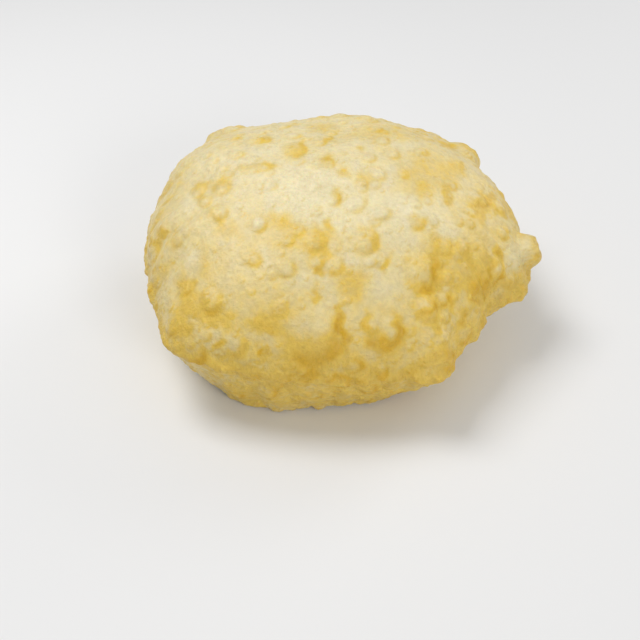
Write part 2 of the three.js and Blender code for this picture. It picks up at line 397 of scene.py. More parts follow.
GOLD_MARKS = {
    "round the pale blister": (
        Mark(284, 222, 15, 9, 0.5),
        Mark(295, 240, 46, 20, 0.42, -5),
        Mark(322, 236, 12, 12, 0.35),
        Mark(330, 226, 4, 6, 0.7),
    ),
    "soft left side": (
        Mark(215, 270, 34, 30, 0.22),
        Mark(270, 300, 40, 16, 0.22),
        Mark(204, 270, 6, 20, 0.2),
        Mark(228, 232, 14, 8, 0.45, -15),
    ),
    "chain down the middle": (
        Mark(325, 256, 4, 9, 0.6),
        Mark(321, 271, 5, 4, 0.8),
        Mark(316, 290, 4, 9, 0.5),
        Mark(312, 298, 5, 3, 0.5),
    ),
    # Partly painted shade, gold at the lower right feet of these blisters, and partly the crust's own
    # browning.
    "feet of the middle blisters": (
        Mark(367, 239, 11, 10, 0.25),
        Mark(374, 242, 4, 9, 0.55),
        Mark(417, 222, 8, 7, 0.55),
        Mark(432, 240, 8, 8, 0.4),
        Mark(388, 262, 4, 8, 0.4),
        Mark(354, 282, 17, 16, 0.5),
    ),
    # Painted shade down the big oval's right edge and below it; the faint gold over the whole oval is the
    # crust's own.
    "big oval blister": (
        Mark(424, 270, 12, 19, 0.2),
        Mark(437, 268, 5, 17, 1),
        Mark(435, 272, 4, 12, 0.6),
        Mark(425, 290, 8, 6, 0.6),
        Mark(430, 288, 9, 5, 0.6),
    ),
    # Painted shade: gold crescents at the foot of the lobe.
    "lobe below the big oval": (
        Mark(430, 311, 10, 4, 1, 22),
        Mark(434, 304, 4, 7, 0.7),
        Mark(444, 306, 3, 6, 0.7),
        Mark(436, 330, 3, 7, 0.6),
    ),
    # Painted shade: gold in the hollows along both feet of the arched blister and under it.
    "arch": (
        Mark(386, 344, 13, 6, 0.85),
        Mark(368, 330, 4, 15, 0.7),
        Mark(399, 331, 5, 14, 0.9),
    ),
    "groove": (
        Mark(341, 326, 5, 20, 1, 6),
        Mark(344, 334, 4, 14, 1, 8),
        Mark(337, 352, 6, 9, 0.7),
    ),
    "low middle": (
        Mark(308, 350, 28, 18, 0.3),
        Mark(322, 352, 26, 15, 0.2),
        Mark(309, 376, 8, 5, 0.8),
        Mark(297, 364, 10, 6, 0.4),
    ),
    "low left": (
        Mark(268, 324, 18, 10, 0.55),
        Mark(265, 328, 6, 5, 0.5),
        Mark(212, 314, 26, 12, 0.6),
        Mark(221, 346, 4, 4, 0.9),
        Mark(263, 354, 3, 3, 0.9),
    ),
    "left edge": (
        Mark(185, 288, 8, 22, 0.7),
        Mark(187, 328, 7, 6, 0.7),
        Mark(175, 335, 5, 10, 0.6),
        Mark(176, 324, 8, 14, 0.5),
        Mark(166, 233, 4, 5, 0.6),
        Mark(157, 245, 4, 5, 0.6),
    ),
    "upper left ovals": (
        Mark(204, 189, 9, 6, 0.55, 20),
        Mark(223, 187, 9, 5, 0.55, 15),
        Mark(203, 203, 5, 5, 0.5),
    ),
    "top": (
        Mark(256, 169, 18, 4, 0.5, 12),
        Mark(268, 136, 7, 4, 0.5),
        Mark(298, 148, 10, 8, 0.5),
        Mark(303, 142, 3, 4, 0.6),
        Mark(329, 159, 8, 6, 0.5, -10),
        Mark(331, 160, 3, 3, 0.5),
        Mark(343, 172, 6, 4, 0.6),
        Mark(336, 195, 6, 8, 0.6),
        Mark(330, 137, 8, 4, 0.4),
        Mark(385, 133, 40, 7, 0.4, -4),
        Mark(364, 149, 4, 3, 0.5),
        Mark(363, 180, 8, 8, 0.45),
    ),
    "upper right": (
        Mark(421, 170, 23, 18, 0.55),
        Mark(452, 174, 14, 12, 0.4),
        Mark(425, 190, 10, 10, 0.4),
        Mark(448, 191, 4, 9, 0.9, 20),
        Mark(461, 169, 3, 4, 0.7),
        Mark(482, 203, 10, 9, 0.55),
        Mark(481, 214, 3, 8, 0.6),
        Mark(490, 200, 3, 5, 0.6),
        Mark(494, 213, 2, 4, 0.5),
    ),
    "right side": (
        Mark(440, 250, 20, 12, 0.3),
        Mark(478, 236, 22, 12, 0.22, -30),
        Mark(468, 264, 26, 20, 0.3),
        Mark(474, 280, 20, 18, 0.25),
        Mark(478, 288, 12, 11, 0.9),
        Mark(475, 303, 4, 4, 0.8),
        Mark(498, 256, 3, 6, 0.8),
        Mark(503, 263, 2.5, 6, 0.6, 20),
        Mark(502, 276, 3, 6, 0.8, -25),
    ),
    "streaks of the right side": (
        Mark(489, 274, 4, 18, 0.8),
        Mark(470, 262, 3, 14, 0.7),
        Mark(452, 300, 3, 10, 0.8, 10),
        Mark(461, 318, 3, 8, 0.7, -10),
    ),
    "seam and foot": (
        Mark(449, 352, 6, 6, 0.8),
        Mark(446, 360, 8, 8, 0.5),
        Mark(412, 368, 20, 4, 0.5, 10),
        Mark(380, 371, 7, 3, 0.6),
        Mark(362, 362, 5, 5, 0.7),
        Mark(345, 378, 15, 2, 0.8, -2),
        Mark(255, 376, 10, 3, 0.7),
        Mark(236, 366, 22, 5, 0.4, -18),
        Mark(242, 392, 20, 6, 0.5, -20),
    ),
}

PALE_MARKS = {
    "crown": (
        Mark(300, 188, 52, 20, 0.6),
        Mark(385, 212, 45, 14, 0.5),
        Mark(268, 150, 16, 5, 0.4, 10),
        Mark(408, 205, 12, 9, 0.3),
    ),
    "middle": (
        Mark(250, 285, 24, 18, 0.35),
        Mark(350, 260, 14, 8, 0.3),
        Mark(388, 288, 18, 16, 0.4),
        Mark(325, 312, 9, 14, 0.45),
    ),
    "tops of blisters": (
        Mark(258, 224, 6, 6, 1),
        Mark(216, 330, 7, 6, 0.6),
        Mark(385, 322, 9, 10, 0.5),
        Mark(441, 333, 6, 6, 0.5),
    ),
    "left side": (
        Mark(190, 262, 8, 20, 0.6, -20),
        Mark(188, 208, 6, 14, 0.4, -35),
    ),
    "right side": (
        # Partly the stub's own pale crust, partly painted light where the stub turns away from the lamps.
        Mark(518, 255, 10, 13, 1.2),
        Mark(487, 268, 3, 8, 0.5),
        Mark(497, 268, 3, 5, 0.7),
        Mark(445, 222, 14, 8, 0.15),
    ),
}


@dataclass(frozen=True)
class Spots:
    """Ovals on the skin, ready to be measured against: arrays with one row for each oval."""

    point: Array
    along: Array
    across: Array
    long: Array
    short: Array
    height: Array

    @classmethod
    def on(cls, form: Form, rows: Sequence[Sequence[float]]) -> "Spots":
        """Put ovals on the form.

        Args:
            form: The smooth form.
            rows: Azimuth, latitude, half length, half width, turn from level and height of each.

        Returns:
            The ovals with their own directions along the skin.
        """
        azimuth, latitude, long, short, turn, height = np.asarray(rows, float).T
        place = form.places(azimuth, latitude)
        cos, sin = np.cos(np.radians(turn))[:, None], np.sin(np.radians(turn))[:, None]
        along = place.level * cos + place.upward * sin
        across = place.upward * cos - place.level * sin
        return cls(place.point, along, across, long, short, height)

    def joined(self, other: "Spots") -> "Spots":
        """Return these ovals with the other ones behind them."""
        pairs = zip(vars(self).values(), vars(other).values(), strict=True)
        return Spots(*(np.concatenate(pair) for pair in pairs))

    def picked(self, index: Array) -> "Spots":
        """Return the ovals of the given numbers alone."""
        return Spots(*(values[index] for values in vars(self).values()))

    def near(self, i: int, point: Array, half_lengths: float = 1.0) -> tuple[Array, Array]:
        """Find the points round an oval.

        Args:
            i: The oval's number.
            point: The points to look through.
            half_lengths: How far to look, in the oval's half lengths.

        Returns:
            The numbers of the points that are near, and their offsets from the oval's middle.
        """
        offset = point - self.point[i]
        limit = (half_lengths * self.long[i]) ** 2
        near = np.flatnonzero(np.einsum("ij,ij->i", offset, offset) < limit)
        return near, offset[near]

    def squared_reach(self, i: int, offset: Array) -> Array:
        """Measure how far out in an oval points lie.

        Args:
            i: The oval's number.
            offset: From the oval's middle to each point.

        Returns:
            The square of the reach, which is 1 at the edge of the oval.
        """
        along = offset @ self.along[i] / self.long[i]
        across = offset @ self.across[i] / self.short[i]
        return along**2 + across**2


@dataclass(frozen=True)
class PhotoView:
    """Where the photograph was taken from (metres, degrees, pixels)."""

    place: tuple[float, float, float] = (-0.006, -0.3621, 0.3501)
    elevation: float = 44.6
    roll: float = 2.26
    focal: float = 815.0
    frame: float = 640.0
    search_step: float = 2.0
    search_lowest: float = -50.0
    rounds: int = 5

    def axes(self) -> Array:
        """Work out which way the view lies.

        Returns:
            Its right, up and back directions, one to a row.
        """
        rise, roll = math.radians(self.elevation), math.radians(self.roll)
        back = np.array([0, -math.cos(rise), math.sin(rise)])
        level = np.array([1.0, 0, 0])
        upward = np.cross(back, level)
        right = level * math.cos(roll) + upward * math.sin(roll)
        up = upward * math.cos(roll) - level * math.sin(roll)
        return np.array([right, up, back])

    def pixels(self, point: Array) -> Array:
        """Return where points (mm) show, right and down from the photograph's upper left corner."""
        seen = (point * MM - np.array(self.place)) @ self.axes().T
        return self.frame / 2 - seen[..., :2] * (1, -1) * self.focal / seen[..., 2:]

    def on_plane(self, x: float, y: float, point: Array, outward: Array) -> Array:
        """Follow the line of sight through a pixel to a plane.

        Args:
            x: The pixel's place, right from the photograph's upper left corner.
            y: The pixel's place, down from that corner.
            point: A point of the plane (mm).
            outward: The way that the plane faces.

        Returns:
            The point of the plane that shows at the pixel (mm).
        """
        right, up, back = self.axes()
        half = self.frame / 2
        sight = right * (x - half) / self.focal - up * (y - half) / self.focal - back
        start = np.array(self.place) / MM
        return start + sight * ((point - start) @ outward) / (sight @ outward)

    def starts(self, form: Form, marks: Sequence[Mark]) -> Array:
        """Find roughly where marks lie, among the places of a grid that face the camera.

        Args:
            form: The smooth form.
            marks: The marks.

        Returns:
            The azimuth and the latitude in degrees, one mark to a row.
        """
        around = np.arange(-180, 180, self.search_step)
        upright = np.arange(self.search_lowest, 90, self.search_step)
        azimuth, latitude = (grid.ravel() for grid in np.meshgrid(around, upright))
        place = form.places(azimuth, latitude)
        towards = np.array(self.place) / MM - place.point
        seen = np.flatnonzero(np.einsum("ij,ij->i", place.outward, towards) > 0)
        shown = self.pixels(place.point[seen])
        nearest = [seen[np.argmin(np.linalg.norm(shown - (m.x, m.y), axis=1))] for m in marks]
        return np.stack([azimuth[nearest], latitude[nearest]], axis=1)

    def row(self, form: Form, mark: Mark, start: Array) -> tuple[float, ...]:
        """Lay a mark on the form.

        Args:
            form: The smooth form.
            mark: The mark.
            start: Roughly its azimuth and latitude.

        Returns:
            Azimuth, latitude, half length, half width, turn from level and strength.
        """
        spot = np.radians(start)
        step = math.radians(form.probe)
        for _ in range(self.rounds):
            place = form.places(*np.degrees(spot))
            missed = self.on_plane(mark.x, mark.y, place.point, place.outward) - place.point
            around = (form.points(spot[0] + step, spot[1]) - place.point) / step
            upright = (form.points(spot[0], spot[1] + step) - place.point) / step
            spot = spot + np.linalg.lstsq(np.stack([around, upright], axis=1), missed, rcond=None)[0]
        place = form.places(*np.degrees(spot))
        upward = np.cross(place.outward, place.level)
        cos, sin = math.cos(math.radians(mark.turn)), math.sin(math.radians(mark.turn))
        ends = (
            (mark.x + mark.half_wide * cos, mark.y - mark.half_wide * sin),
            (mark.x - mark.half_tall * sin, mark.y - mark.half_tall * cos),
        )
        arms = [self.on_plane(*end, place.point, place.outward) - place.point for end in ends]
        flat = np.array([[arm @ place.level for arm in arms], [arm @ upward for arm in arms]])
        ways, sizes, _ = np.linalg.svd(flat)
        turn = math.degrees(math.atan2(ways[1, 0], ways[0, 0]))
        return (*np.degrees(spot), *sizes, turn, mark.strength)

    def rows(self, form: Form, groups: dict[str, tuple[Mark, ...]]) -> list[tuple[float, ...]]:
        """Lay groups of marks on the form, one row of numbers for each mark."""
        marks = [mark for group in groups.values() for mark in group]
        return [self.row(form, *pair) for pair in zip(marks, self.starts(form, marks), strict=True)]


@dataclass(frozen=True)
class Scatter:
    """Smaller ovals over the rest of the skin, clear of each other and of those already there."""

    count: int
    tries: int
    lowest: float
    least: float
    most: float
    slim: float
    rise: float
    gap: float

    def on(self, form: Form, placed: Spots, draw: Draws) -> Spots:
        """Draw the ovals.

        Args:
            form: The smooth form.
            placed: The ovals that are already there.
            draw: The random numbers, of which each try takes five.

        Returns:
            The new ovals.
        """
        lowest = math.sin(math.radians(self.lowest))
        rows = []
        for _ in range(self.tries):
            azimuth = 360 * draw() - 180
            latitude = math.degrees(math.asin(lowest + (1 - lowest) * draw()))
            long = self.least + (self.most - self.least) * draw() ** 2
            short = long * (self.slim + (1 - self.slim) * draw())
            rows.append((azimuth, latitude, long, short, 180 * draw(), self.rise * short))
        tried = Spots.on(form, rows)
        point, long, kept = placed.point, placed.long, []
        for i in range(self.tries):
            apart = np.linalg.norm(point - tried.point[i], axis=1)
            if np.all(apart > self.gap * (long + tried.long[i])):
                kept.append(i)
                point = np.vstack([point, tried.point[i]])
                long = np.append(long, tried.long[i])
            if len(kept) == self.count:
                break
        return tried.picked(np.array(kept))


# --- The skin, read at every point of the mesh ---


@dataclass
class Skin:
    """The relief that the solid has too, and where the patches of the crust lie (mm, degrees)."""

    form: Form = Form()
    view: PhotoView = PhotoView()
    seed: int = 20417
    blister_power: float = 1.5
    scatter: Scatter = Scatter(
        count=170, tries=5000, lowest=-40, least=3.6, most=8.4, slim=0.66, rise=0.2, gap=0.85
    )
    nubs: tuple[Nub, ...] = (
        Nub(-0.5, 10.5, 11, 10.5, 8, 7),
        Nub(40.5, 23, 13, 12, 6, 4),
        Nub(133, 20, 15, 12, 4.5, 3),
    )
    nub_lift: float = 0.25
    nub_power: float = 1.3
    pleats: tuple[Pleat, ...] = (
        Pleat(-18, 18, 13, 14, 0.8, 6),
        Pleat(-162, 28, 14, 16, 1.1, 11),
        Pleat(-70, -14, 22, 10, 0.7, 8),
        Pleat(-112, -26, 26, 14, 1, 13),
    )
    swellings: tuple[Swelling, ...] = (
        Swelling(25, 50, 16, 18, 0.7),
        Swelling(92, 58, 18, 16, -2),
        Swelling(128, 48, 14, 16, -4.2),
        Swelling(158, 45, 15, 18, 2.3),
        Swelling(-172, 40, 15, 18, 1.6),
    )
    wave_count: int = 7
    wave_shortest: float = 34
    wave_longest: float = 76
    wave_rise: float = 0.42
    crimps: tuple[tuple[int, float, float], ...] = ((23, 0.5, 1), (41, 0.3, 2), (67, 0.2, 0))
    lip_out: float = 1.9
    lip_half: float = 2.6
    lip_crinkle: float = 0.45
    foot_lip_out: float = 3
    foot_lip_half: float = 2.4
    foot_lip_at: float = -100
    foot_lip_wide: float = 26
    foot_lip_crinkle: float = 0.25
    foot_lip_crimp_turn: float = 1
    brown_scatter: Scatter = Scatter(
        count=150, tries=2500, lowest=-45, least=2.2, most=13, slim=0.4, rise=0.06, gap=0.9
    )
    brown_seed: int = 733

    def __post_init__(self) -> None:
        """Draw the waves and the blisters, in the same order as the part's source."""
        draw = Draws(self.seed)
        self.waves = [self.wave(draw) for _ in range(self.wave_count)]
        named = Spots.on(self.form, [tuple(vars(blister).values()) for blister in BLISTERS])
        self.blisters = named.joined(self.scatter.on(self.form, named, draw))
        marks = {Tone.GOLD: GOLD_MARKS, Tone.PALE: PALE_MARKS}
        laid = {tone: Spots.on(self.form, self.view.rows(self.form, marks[tone])) for tone in Tone}
        both = laid[Tone.GOLD].joined(laid[Tone.PALE])
        more = self.brown_scatter.on(self.form, both, Draws(self.brown_seed))
        self.patches = laid | {Tone.GOLD: laid[Tone.GOLD].joined(more)}

    def wave(self, draw: Draws) -> tuple[Array, float]:
        """Draw one long shallow wave.

        Args:
            draw: The random numbers, of which it takes four.

        Returns:
            The wave's way, scaled to radians per mm, and its phase.
        """
        length = self.wave_shortest + (self.wave_longest - self.wave_shortest) * draw()
        azimuth = math.tau * draw()
        climb = 2 * draw() - 1
        flat = math.sqrt(1 - climb * climb)
        way = np.array([flat * math.cos(azimuth), flat * math.sin(azimuth), climb])
        return way * math.tau / length, math.tau * draw()

    def crimp(self, azimuth: Array) -> Array:
        """Return the uneven crimping along an edge, -1 to 1."""
        return sum(share * np.sin(count * azimuth + phase) for count, share, phase in self.crimps)

    def rim_mask(self, azimuth: Array, point: Array, half: float) -> Array:
        """Return 1 on the rim, falling off over the half height above and below it."""
        return bell((point[:, 2] - self.form.rim_level(azimuth)) / half)

    def foot_mask(self, azimuth: Array, point: Array) -> Array:
        """Mark the fold at the foot in front.

        Args:
            azimuth: Of each point, in radians.
            point: The points of the smooth form.

        Returns:
            1 on the fold, and nought away from it.
        """
        aside = turn_between(math.radians(self.foot_lip_at), azimuth)
        along = bell(aside / math.radians(self.foot_lip_wide))
        return along * bell((point[:, 2] - self.form.foot_height) / self.foot_lip_half)

    def blister_height(self, point: Array) -> Array:
        """Raise the blisters and sink the folds.

        Args:
            point: The points of the smooth form.

        Returns:
            How far each point is lifted.
        """
        height = np.zeros(len(point))
        for i, rise in enumerate(self.blisters.height):
            near, offset = self.blisters.near(i, point)
            inside = np.maximum(1 - self.blisters.squared_reach(i, offset), 0)
            height[near] += rise * inside**self.blister_power
        return height

    def broad_height(self, azimuth: Array, latitude: Array) -> Array:
        """Return how far the soft pleats and the broad swellings lift each point."""
        return sum(each.height(azimuth, latitude) for each in (*self.pleats, *self.swellings))

    def lip_height(self, azimuth: Array, point: Array) -> Array:
        """Raise the crimped rim and the fold at the foot.

        Args:
            azimuth: Of each point, in radians.
            point: The points of the smooth form.

        Returns:
            How far each point is lifted.
        """
        rim = self.rim_mask(azimuth, point, self.lip_half)
        lip = self.lip_out * rim * (1 + self.lip_crinkle * self.crimp(azimuth))
        foot = self.foot_mask(azimuth, point)
        crinkle = self.foot_lip_crinkle * self.crimp(azimuth + self.foot_lip_crimp_turn)
        return lip + self.foot_lip_out * foot * (1 + crinkle)

    def hold(self, latitude: Array) -> Array:
        """Return 1 where the skin is free, and 0 on the resting spot."""
        return 1 - smooth(self.form.under_share(latitude) / self.form.foot_curve_share)

    def relief(self, azimuth: Array, latitude: Array, point: Array) -> Array:
        """Add up the relief that the solid has too.

        Args:
            azimuth: Of each point, in radians.
            latitude: Of each point, in radians.
            point: The points of the smooth form.

        Returns:
            How far each point moves along its normal.
        """
        waves = sum(self.wave_rise * np.sin(point @ way + phase) for way, phase in self.waves)
        bumps = self.blister_height(point) + waves
        edges = self.broad_height(azimuth, latitude) + self.lip_height(azimuth, point)
        return self.hold(latitude) * (bumps + edges)

    def nub_shift(self, point: Array) -> tuple[Array, Array]:
        """Move the points of the stubs straight out.

        Args:
            point: The points of the smooth form.

        Returns:
            The shift of each point, and how far out along a stub it lies, 0 to 1.
        """
        shift = np.zeros_like(point)
        share = np.zeros(len(point))
        for nub in self.nubs:
            place = self.form.places(nub.azimuth, nub.latitude)
            way = unit(place.outward * (1, 1, 0) + (0, 0, self.nub_lift))
            offset = point - place.point
            reach = np.hypot(offset @ place.level / nub.across, offset @ place.upward / nub.up)
            near = (reach < 1) & (np.linalg.norm(offset, axis=1) < nub.across + nub.up)
            stand = np.where(near, np.maximum(1 - reach**nub.blunt, 0) ** self.nub_power, 0)
            shift += stand[:, None] * way * nub.out
            share = np.maximum(share, stand)
        return shift, share


@dataclass(frozen=True)
class Browning:
    """How the patches of the crust spread: soft, ragged at the edge, and with painted shade deepening the
    colour beside a blister.
    """

    core: float = 0.2
    edge: float = 1.7
    ragged: float = 1.1
    ragged_lengths: tuple[float, ...] = (17.0, 7.3)
    # Painted shade at the lower right foot of each blister: its strength, least share, ring reach, half
    # width and how far out it ends.
    crescent: float = 0.75
    painted_shade_least: float = 0.25
    painted_shade_reach: float = 0.88
    painted_shade_half: float = 0.20
    painted_shade_ends: float = 2.0

    def ragged_points(self, point: Array) -> Array:
        """Move points about a little, so that a patch read there has a ragged edge.

        Args:
            point: The points of the smooth form.

        Returns:
            The moved points.
        """
        moved = point
        for length in self.ragged_lengths:
            turned = np.roll(moved, 1, axis=1) * math.tau / length
            moved = moved + self.ragged * np.sin(turned + np.roll(moved, 2, axis=1) / length)
        return moved

    def patches(self, spots: Spots, point: Array) -> Array:
        """Spread the patches of one tone.

        Args:
            spots: The patches.
            point: The points of the smooth form.

        Returns:
            How strongly the patches colour each point, 0 to 1.
        """
        moved = self.ragged_points(point)
        plain = np.ones(len(point))
        for i, strength in enumerate(spots.height):
            near, offset = spots.near(i, moved, self.edge)
            reach = np.sqrt(spots.squared_reach(i, offset))
            depth = strength * (1 - smooth(reach, self.core, self.edge))
            plain[near] *= 1 - np.clip(depth, 0, 1)
        return 1 - plain

    def painted_shade_crescents(self, spots: Spots, point: Array) -> Array:
        """Paint shade at the lower right foot of each raised blister.

        Args:
            spots: The blisters.
            point: The points of the smooth form.

        Returns:
            How deep the painted shade is at each point, 0 to 1.
        """
        way = unit(np.array(PAINTED_SHADE_WAY))
        depth = np.zeros(len(point))
        for i in np.flatnonzero(spots.height > 0):
            near, offset = spots.near(i, point, self.painted_shade_ends)
            reach = np.sqrt(spots.squared_reach(i, offset))
            aside = offset @ way / np.maximum(np.linalg.norm(offset, axis=1), TINY)
            ring = bell((reach - self.painted_shade_reach) / self.painted_shade_half)
            turned = self.painted_shade_least + (1 - self.painted_shade_least) * smooth(aside, *PAINTED_SHADE_TURN)
            depth[near] = np.maximum(depth[near], self.crescent * ring * turned)
        return depth


@dataclass(frozen=True)
class Masks:
    """The named numbers that the fine relief and the crust read at every point (degrees, mm)."""

    browning: Browning = Browning()
    rim_half: float = 3.2
    rim_gold: float = 0.30
    nub_gold: float = 0.50
    nub_end: float = 0.6
    nub_edge: float = 0.5
    bubbly_least: float = 0.35
    bubbly_from: float = 38
    bubbly_full: float = -12
    # Painted shade: the browning deepens towards the bottom, from the first latitude to the second, and
    # more round towards the front right, away from the key light.
    painted_low_shade_from: float = 85
    painted_low_shade_full: float = -5
    painted_low_shade_turn: float = -45
    painted_low_shade_swing: float = 0.30

    def on(self, skin: Skin, azimuth: Array, latitude: Array, point: Array) -> dict[str, Array]:
        """Work out the masks.

        Args:
            skin: The relief of the skin.
            azimuth: Of every point.
            latitude: Of every point.
            point: The points of the smooth form.

        Returns:
            An array from 0 to 1 for each name.
        """
        _, nub = skin.nub_shift(point)
        rim = skin.rim_mask(azimuth, point, self.rim_half)
        foot = skin.foot_mask(azimuth, point)
        low = 1 - smooth(latitude, math.radians(self.bubbly_full), math.radians(self.bubbly_from))
        # Painted shade, deeper towards the bottom and the front right.
        fall = 1 - smooth(latitude, math.radians(self.painted_low_shade_full), math.radians(self.painted_low_shade_from))
        swing = self.painted_low_shade_swing * np.cos(azimuth - math.radians(self.painted_low_shade_turn))
        tones = {tone.value: self.browning.patches(skin.patches[tone], point) for tone in Tone}
        plain = (1 - tones[Tone.GOLD.value]) * (1 - self.rim_gold * rim)
        plain = plain * (1 - self.nub_gold * smooth(nub, self.nub_end))
        return tones | {
            Tone.GOLD.value: 1 - plain,
            "hold": skin.hold(latitude),
            "bubbly": np.clip(self.bubbly_least + (1 - self.bubbly_least) * low, 0, 1),
            "edge": np.clip(rim + foot + self.nub_edge * nub, 0, 1),
            # Painted shade at the lower right foot of each blister.
            "crescent": self.browning.painted_shade_crescents(skin.blisters, point),
            "fall": fall * (1 - self.painted_low_shade_swing + swing),
        }


# --- Nodes as Python sums ---

Setting = dict[str, Any]


def math_method(operation: str, swapped: bool = False) -> Callable[["Wire", "Wire | float"], "Wire"]:
    """Make an operator of Wire that adds one Math node.

    Args:
        operation: The Math node's operation.
        swapped: Whether the other value comes first.

    Returns:
        The method.
    """

    def method(self: "Wire", other: "Wire | float") -> "Wire":
        """Return the result of the Math node."""
        values = (other, self) if swapped else (self, other)
        return self.sheet.math(operation, *values)

    return method


@dataclass(frozen=True)
class Wire:
    """An output socket that takes part in Python sums: each operator adds one Math node."""

    sheet: "Sheet"
    socket: bpy.types.NodeSocket

    __add__ = math_method("ADD")
    __radd__ = math_method("ADD", swapped=True)
    __sub__ = math_method("SUBTRACT")
    __rsub__ = math_method("SUBTRACT", swapped=True)
    __mul__ = math_method("MULTIPLY")
    __rmul__ = math_method("MULTIPLY", swapped=True)
    __truediv__ = math_method("DIVIDE")
    __rtruediv__ = math_method("DIVIDE", swapped=True)
    __pow__ = math_method("POWER")


@dataclass(frozen=True)
class Sheet:
    """A node tree built from Python, here of a material."""

    tree: bpy.types.NodeTree

    def node(
        self, kind: str, settings: Setting | None = None, values: dict | None = None
    ) -> bpy.types.Node:
        """Add a node.

        Args:
            kind: The node's type.
            settings: Its own settings, set first.
            values: A number, colour or Wire for each input, by the socket's name or index.

        Returns:
            The node.
        """
        node = self.tree.nodes.new(kind)
        for name, value in (settings or {}).items():
            setattr(node, name, value)
        for key, value in (values or {}).items():
            if isinstance(value, Wire):
                self.tree.links.new(value.socket, node.inputs[key])
            else:
                node.inputs[key].default_value = value
        return node

    def out(self, node: bpy.types.Node, key: str | int = 0) -> Wire:
        """Return an output of a node as a Wire."""
        return Wire(self, node.outputs[key])

    def math(self, operation: str, *values: Wire | float) -> Wire:
        """Return the result of a Math node on the values."""
        return self.out(self.node("ShaderNodeMath", {"operation": operation}, dict(enumerate(values))))

    def vector(self, operation: str, *values: Any, output: str = "Vector") -> Wire:
        """Return a result of a Vector Math node on the values."""
        node = self.node("ShaderNodeVectorMath", {"operation": operation}, dict(enumerate(values)))
        return self.out(node, output)

    def attribute(self, name: str) -> Wire:
        """Return a named number of the surface that a material is on."""
        return self.out(self.node("ShaderNodeAttribute", {"attribute_name": name}), "Fac")

    def smooth(self, value: Wire, low: float, high: float) -> Wire:
        """Return a soft step of the value from 0 at low to 1 at high."""
        settings = {"interpolation_type": "SMOOTHSTEP"}
        return self.out(self.node("ShaderNodeMapRange", settings, {0: value, 1: low, 2: high}))

    def noise(self, where: Wire, size: Wire | float, detail: float, roughness: float = 0.5) -> Wire:
        """Return noise from 0 to 1, with lumps of about the given size in metres."""
        values = {"Vector": where, "Scale": 1 / size, "Detail": detail, "Roughness": roughness}
        return self.out(self.node("ShaderNodeTexNoise", {"noise_dimensions": "3D"}, values))

    def colour(self, factor: Wire | float, first: Any, second: Any) -> Wire:
        """Return the mix of two colours."""
        node = self.node("ShaderNodeMix", {"data_type": "RGBA"}, {0: factor, 6: first, 7: second})
        return self.out(node, 2)


class MeshSheet(Sheet):
    """A node tree of a Geometry Nodes modifier."""

    def attribute(self, name: str) -> Wire:
        """Return a named number of the mesh."""
        node = self.node("GeometryNodeInputNamedAttribute", {"data_type": "FLOAT"}, {"Name": name})
        return self.out(node, "Attribute")

    def stored(self, mesh: Wire, name: str, value: Wire) -> Wire:
        """Keep a number at each point of a mesh.

        Args:
            mesh: The mesh.
            name: What the number is called.
            value: The number.

        Returns:
            The mesh with the number.
        """
        settings = {"data_type": "FLOAT", "domain": "POINT"}
        values = {"Geometry": mesh, "Name": name, "Value": value}
        return self.out(self.node("GeometryNodeStoreNamedAttribute", settings, values))

    def sampled(self, kind: str, points: Wire, value: Wire, index: Wire) -> Wire:
        """Read a value of another point.

        Args:
            kind: The value's data type.
            points: The points that have it.
            value: The value.
            index: The number of the point to read.

        Returns:
            The value of that point.
        """
        settings = {"data_type": kind, "domain": "POINT"}
        values = {"Geometry": points, "Value": value, "Index": index}
        return self.out(self.node("GeometryNodeSampleIndex", settings, values))


# --- Finishes ---


@dataclass(frozen=True)
class Shade:
    """A colour of the crust, and the depths of browning where it starts and where it is full."""

    colour: Colour
    starts: float
    full: float


@dataclass(frozen=True)
class Noise:
    """Noise with lumps of one size (metres), and how fine and how rough it is."""

    size: float
    detail: float
    roughness: float = 0.5

    def on(self, sheet: Sheet, where: Wire) -> Wire:
        """Return the noise at each point, 0 to 1."""
        return sheet.noise(where, self.size, self.detail, self.roughness)


@dataclass(frozen=True)
class Pimples:
    """Tiny bubbles of the crust: their spacing, how many of the places have one, and their height."""

    size: float
    share: float
    bump: float
    loose: float = 0.8
    stands_from: float = 1.0
    stands_full: float = 1.25
    half: float = 0.5
    foot: float = 0.12

    def height(self, sheet: Sheet, where: Wire, bubbly: Wire) -> Wire:
        """Build the nodes of the pimples.

        Args:
            sheet: The tree to build in.
            where: The position of each point.
            bubbly: How many bubbles a place has, 0 to 1.

        Returns:
            How high each point lies on a pimple, 0 to 1.
        """
        values = {"Vector": where, "Scale": 1 / self.size, "Randomness": self.loose}
        cells = sheet.node("ShaderNodeTexVoronoi", {"feature": "F1"}, values)
        walls = sheet.node("ShaderNodeTexVoronoi", {"feature": "DISTANCE_TO_EDGE"}, values)
        chance = sheet.out(cells, "Color") + self.share * bubbly
        dome = 1 - sheet.smooth(sheet.out(cells, "Distance"), 0.0, self.half)
        foot = sheet.smooth(sheet.out(walls), 0.0, self.foot)
        return dome * foot * sheet.smooth(chance, self.stands_from, self.stands_full)


@dataclass(frozen=True)
class Depth:
    """How much each mask and each noise adds to the depth of the browning.

    Two of them are painted shade: one at the lower right foot of each blister, which adds more where the
    skin is bubbly, and one that deepens towards the bottom and the front right.
    """

    plain: float = 0.06
    gold: float = 0.80
    blister: float = 0.08
    pale: float = -0.34
    fall: float = 0.56
    crescent: float = 0.36
    bubbly_painted_shade: float = 0.55
    lanes: float = 0.45
    mottle: float = 0.60
    grain: float = 0.22
    crease: float = 0.05
    pimple: float = -0.035


